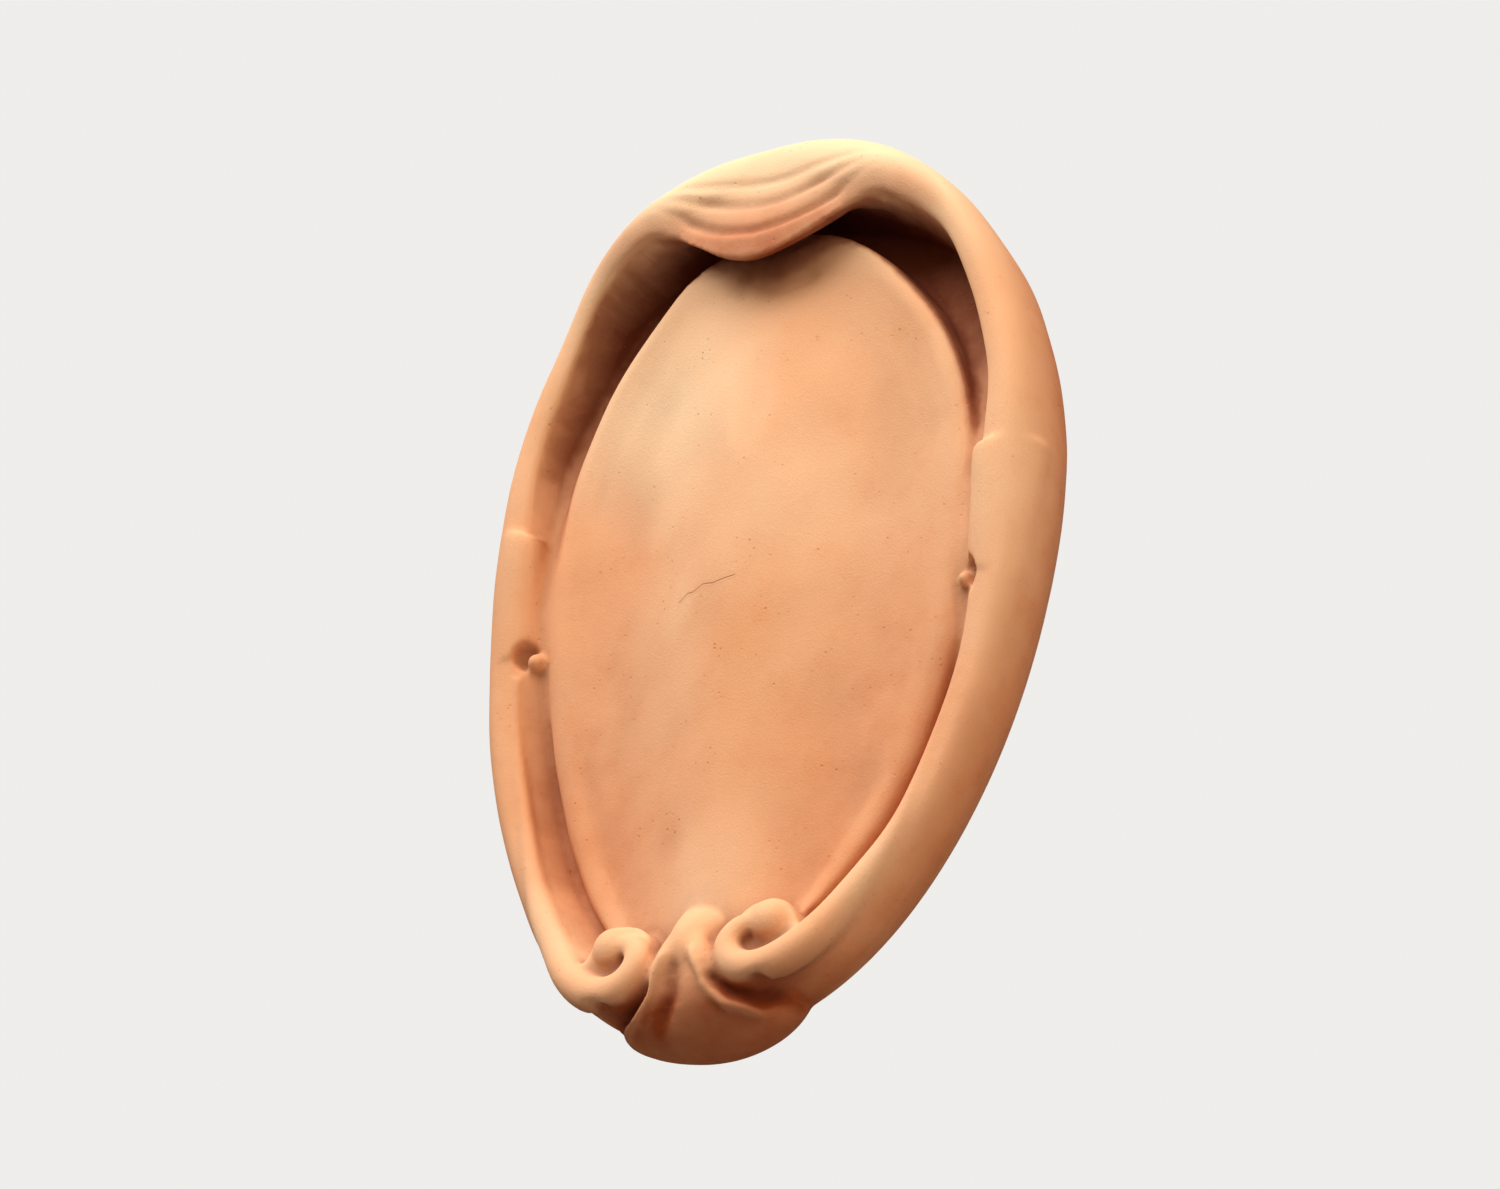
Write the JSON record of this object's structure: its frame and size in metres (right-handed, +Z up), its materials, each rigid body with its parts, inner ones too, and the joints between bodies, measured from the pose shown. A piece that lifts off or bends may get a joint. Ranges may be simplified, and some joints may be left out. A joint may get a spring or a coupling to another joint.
{
  "type": "oval wall cartouche",
  "caption": "Oval fired-clay wall cartouche: a plain domed field in a scrolled frame with a reeded drooping crest and volutes at the foot, hollow behind.",
  "frame": {"origin": "on the back plane that lies against the wall, on the upright web, 447 mm below the top of the crest", "axes": "+Z up the long axis of the oval, +Y into the wall, +X to the viewer's right"},
  "size_m": [0.6104, 0.1846, 0.9005],
  "materials": {
    "terracotta": "matte unglazed fired clay"
  },
  "bodies": {
    "root": {"cartouche": "terracotta"}
  },
  "joints": []
}
